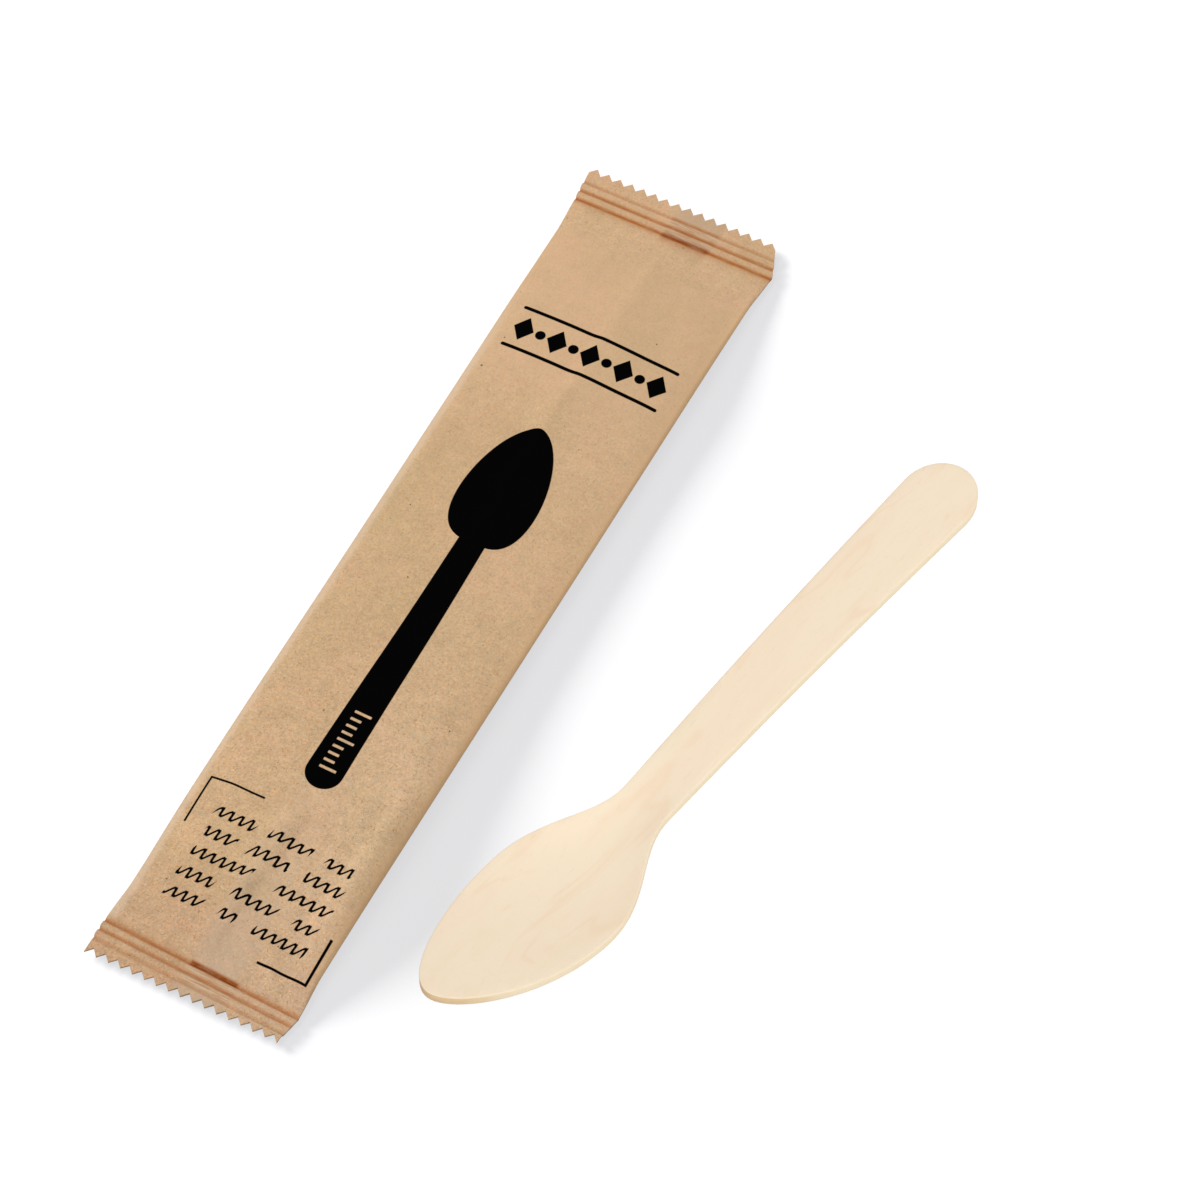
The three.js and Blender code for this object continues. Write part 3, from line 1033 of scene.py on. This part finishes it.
def kraft_paper(origin, flecks, bar):
    material, nodes, shader = new_material("kraft_paper", 0.85, 0.02)
    place = millimetres(nodes, origin)
    flat = nodes.scaled(place, (1, 1, 0))
    u, v, _ = nodes.split(place)
    rough = nodes.plus(*(nodes.ramp(v, *fade) for fade in ROUGH_FADES))
    fine = nodes.noise(flat, 0.4, 2, 0.6)
    soft = nodes.noise(nodes.moved(flat, (9, 27, 0)), 1.3)
    fibres_light = kraft_fibres(nodes, flecks, flat, 0, LIGHT_FIBRES)
    fibres_dark = kraft_fibres(nodes, flecks, nodes.moved(flat, (51, 3, 0)), 0.5, DARK_FIBRES)
    specks = nodes.ramp(nodes.noise(nodes.moved(flat, (5, 83, 0)), 0.62, 0), 0.865, 0.885)

    colour = kraft_grain(nodes, kraft_tones_and_painted_shading(nodes, flat, u, v), flat, rough, fine, soft)
    colour = nodes.mix(nodes.times(fibres_light, rough, 0.32), colour, FIBRE_LIGHT)
    colour = nodes.mix(nodes.times(fibres_dark, rough, 0.42), colour, FIBRE_DARK)
    colour = nodes.mix(nodes.times(specks, 0.75), colour, SPECK)
    colour = crimp_tints_and_painted_fold_light(nodes, colour, flat)
    colour = nodes.mix(front_print(nodes, bar, place, u, v), colour, INK)
    nodes.feed(shader.inputs["Base Color"], colour)

    height = nodes.plus(nodes.times(fine, 0.012), nodes.times(soft, 0.02),
                        nodes.times(fibres_light, 0.008), nodes.times(fibres_dark, -0.006))
    nodes.feed(shader.inputs["Normal"], nodes.bump(height, 0.8))
    return material


def birch_veneer(origin, flecks):
    """Pale wood with clouds, thin wavy veins, fine lines and pores that run along the spoon."""
    material, nodes, shader = new_material("birch_veneer", 0.6, 0.25)
    grain = millimetres(nodes, origin, SPOON_TURN)
    long = nodes.scaled(grain, (1, 0.09, 1))
    wide = nodes.noise(nodes.scaled(grain, (1, 0.16, 1)), 4.2, 3, 0.55, 0.5)
    colour = nodes.mix(nodes.times(nodes.ramp(wide, 0.45, 0.62), 0.5), BIRCH, BIRCH_PINK)
    bands = nodes.noise(nodes.scaled(grain, (1, 0.22, 1)), 7, 2, 0.5, 0.8)
    veins = nodes.ramp(nodes.absolute(nodes.minus(bands, 0.5)), 0, 0.035, 1, 0)
    colour = nodes.mix(nodes.times(veins, nodes.ramp(wide, 0.35, 0.6), 0.55), colour, BIRCH_VEIN)
    honey = nodes.ramp(nodes.noise(nodes.moved(long, (17, 4, 0)), 3, 3, 0.6, 0.4), 0.5, 0.75)
    colour = nodes.mix(nodes.times(honey, 0.5), colour, BIRCH_HONEY)
    lines = nodes.ramp(nodes.noise(long, 0.5, 3, 0.6, 0.3), 0.45, 0.75)
    colour = nodes.mix(nodes.times(lines, 0.22), colour, BIRCH_PINK)
    pores = nodes.use(flecks, Vector=grain, Turn=0, **PORES)
    colour = nodes.mix(nodes.times(pores, 0.22), colour, PORE)
    nodes.feed(shader.inputs["Base Color"], colour)
    height = nodes.plus(nodes.times(lines, -0.01), nodes.times(pores, -0.02))
    nodes.feed(shader.inputs["Normal"], nodes.bump(height, 0.7))
    return material


def veneer_edge(origin, flecks):
    """The punched edge, where the veneer's layers show as fine level lines, in a pale colour that is partly
    painted light.
    """
    material, nodes, shader = new_material("veneer_edge", 0.7, 0.2)
    grain = millimetres(nodes, origin, SPOON_TURN)
    layers = nodes.noise(nodes.scaled(grain, (0.1, 0.1, 1)), 0.22, 2, 0.6, 0.2)
    _, along, _ = nodes.split(grain)
    lines = nodes.times(nodes.ramp(layers, 0.4, 0.75), 0.25)
    to_tip = nodes.times(nodes.ramp(along, *TIP_SHADE, 1, 0), 0.75)
    # the pale end is the edge's colour lifted by painted light
    colour = nodes.mix(nodes.plus(lines, to_tip), EDGE_PALE_AND_PAINTED_LIGHT, EDGE_HONEY)
    rough = nodes.use(flecks, Vector=nodes.scaled(grain, (1, 1, 0.3)), Turn=0.3, **EDGE_CRUMBS)
    colour = nodes.mix(nodes.times(rough, 0.25), colour, EDGE_HONEY)
    nodes.feed(shader.inputs["Base Color"], colour)
    height = nodes.times(nodes.plus(layers, nodes.times(rough, -0.5)), 0.03)
    nodes.feed(shader.inputs["Normal"], nodes.bump(height, 1.0))
    return material


# Stage

CAMERA_AT = Vector((199.7, -368.475, 692.0)) * MM
LOOK_AT = Vector((-1.962, 8.335, 0)) * MM
LENS = 180
SENSOR = 36

# What the sky adds to a white level surface. Then each lamp: azimuth from +X, elevation, what it
# adds to such a surface, and apparent size. The low row of lamps shares all but the azimuth.
SKY_SHARE = 0.72
KEY = (200, 46, 0.28, 30)
SPOON_KEY = (215, 72, 0.2, 40)
SPOON_FILL = (-25, 16, 0.085, 30)
RAKE_AZIMUTHS = (155, 166, 177)
RAKE = (12.5, 2.7 / len(RAKE_AZIMUTHS), 14)

FLOOR_SIZE = 6  # metres
FLOOR_TONE = 0.12
FLOOR_GLOW = (0.645, 0.645, 0.66, 1)  # added to the floor where the camera or a gloss sees it


def camera():
    """A long lens at the photograph's viewing angle."""
    data = bpy.data.cameras.new("camera")
    data.lens = LENS
    data.sensor_width = SENSOR
    data.sensor_fit = "HORIZONTAL"
    data.clip_end = 50
    item = bpy.data.objects.new("camera", data)
    bpy.context.scene.collection.objects.link(item)
    item.location = CAMERA_AT
    item.rotation_euler = (LOOK_AT - CAMERA_AT).to_track_quat("-Z", "Y").to_euler()
    bpy.context.scene.camera = item


def sun(name, azimuth, elevation, share, size):
    """A soft distant lamp that adds share to a white level surface."""
    data = bpy.data.lights.new(name, "SUN")
    data.energy = share * math.pi / math.sin(math.radians(elevation))
    data.angle = math.radians(size)
    item = bpy.data.objects.new(name, data)
    bpy.context.scene.collection.objects.link(item)
    level = math.cos(math.radians(elevation))
    towards = Vector((
        math.cos(math.radians(azimuth)) * level,
        math.sin(math.radians(azimuth)) * level,
        math.sin(math.radians(elevation)),
    ))
    item.rotation_euler = towards.to_track_quat("Z", "Y").to_euler()
    return item


def floor():
    deselect_all()
    bpy.ops.mesh.primitive_plane_add(size=FLOOR_SIZE)
    table = bpy.context.object
    table.name = "floor"
    material, nodes, shader = new_material("floor_white", 1.0, 0.0)
    shader.inputs["Base Color"].default_value = (FLOOR_TONE, FLOOR_TONE, FLOOR_TONE, 1)
    shader.inputs["Emission Color"].default_value = FLOOR_GLOW
    rays = nodes.add("LightPath", {})
    seen = nodes.plus(rays["Is Camera Ray"], rays["Is Glossy Ray"], rays["Is Transmission Ray"])
    nodes.feed(shader.inputs["Emission Strength"], seen)
    table.data.materials.append(material)
    return table


def group_of(name, items):
    """A collection for light linking."""
    group = bpy.data.collections.new(name)
    for item in items:
        group.objects.link(item)
    return group


def link(lamp, lit, blockers=None):
    """Lets a lamp light only some pieces, with shadows of all pieces or of one group's."""
    lamp.light_linking.receiver_collection = group_of("lit_by_" + lamp.name, lit)
    if blockers is not None:
        lamp.light_linking.blocker_collection = blockers


def studio(table, sachet, spoon):
    """Soft light from the sky and from the left. The spoon has its own key and a fill on its edge,
    and a low row of lamps whitens the floor beside the shadow that the sachet casts on it."""
    world = bpy.data.worlds.new("studio")
    bpy.context.scene.world = world
    world.use_nodes = True
    background = world.node_tree.nodes["Background"]
    background.inputs["Color"].default_value = (1, 1, 1, 1)
    background.inputs["Strength"].default_value = SKY_SHARE
    blockers = group_of("shadow_casters", sachet)
    link(sun("key", *KEY), (table, *sachet), blockers)
    link(sun("spoon_key", *SPOON_KEY), (spoon,))
    link(sun("spoon_fill", *SPOON_FILL), (spoon,))
    for azimuth in RAKE_AZIMUTHS:
        link(sun("rake", azimuth, *RAKE), (table,), blockers)


bpy.context.scene.view_settings.view_transform = "Standard"
camera()

sachet_middle = sachet_origin()
body, fin = paper_sachet(sachet_middle)
beside = Vector((half_width(-BOWL_DROP) + SIDE_GAP + BOWL_WIDTH / 2, -BOWL_DROP, 0))
bowl_middle = sachet_middle + beside
spoon = wooden_spoon(bowl_middle)

flecks = flecks_group()
bar = bar_group()
paper = kraft_paper(sachet_middle, flecks, bar)
birch = birch_veneer(bowl_middle, flecks)
edge = veneer_edge(bowl_middle, flecks)
for piece, materials, slot in (
    (body, (paper,), "kraft_paper"),
    (fin, (paper,), "kraft_paper"),
    (spoon, (birch, edge), "birch_veneer"),
):
    for material in materials:
        piece.data.materials.append(material)
    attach(piece, "root")
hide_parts("paper_sachet")
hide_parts("paper_sachet")
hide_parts("wooden_spoon")

studio(floor(), (body, fin), spoon)
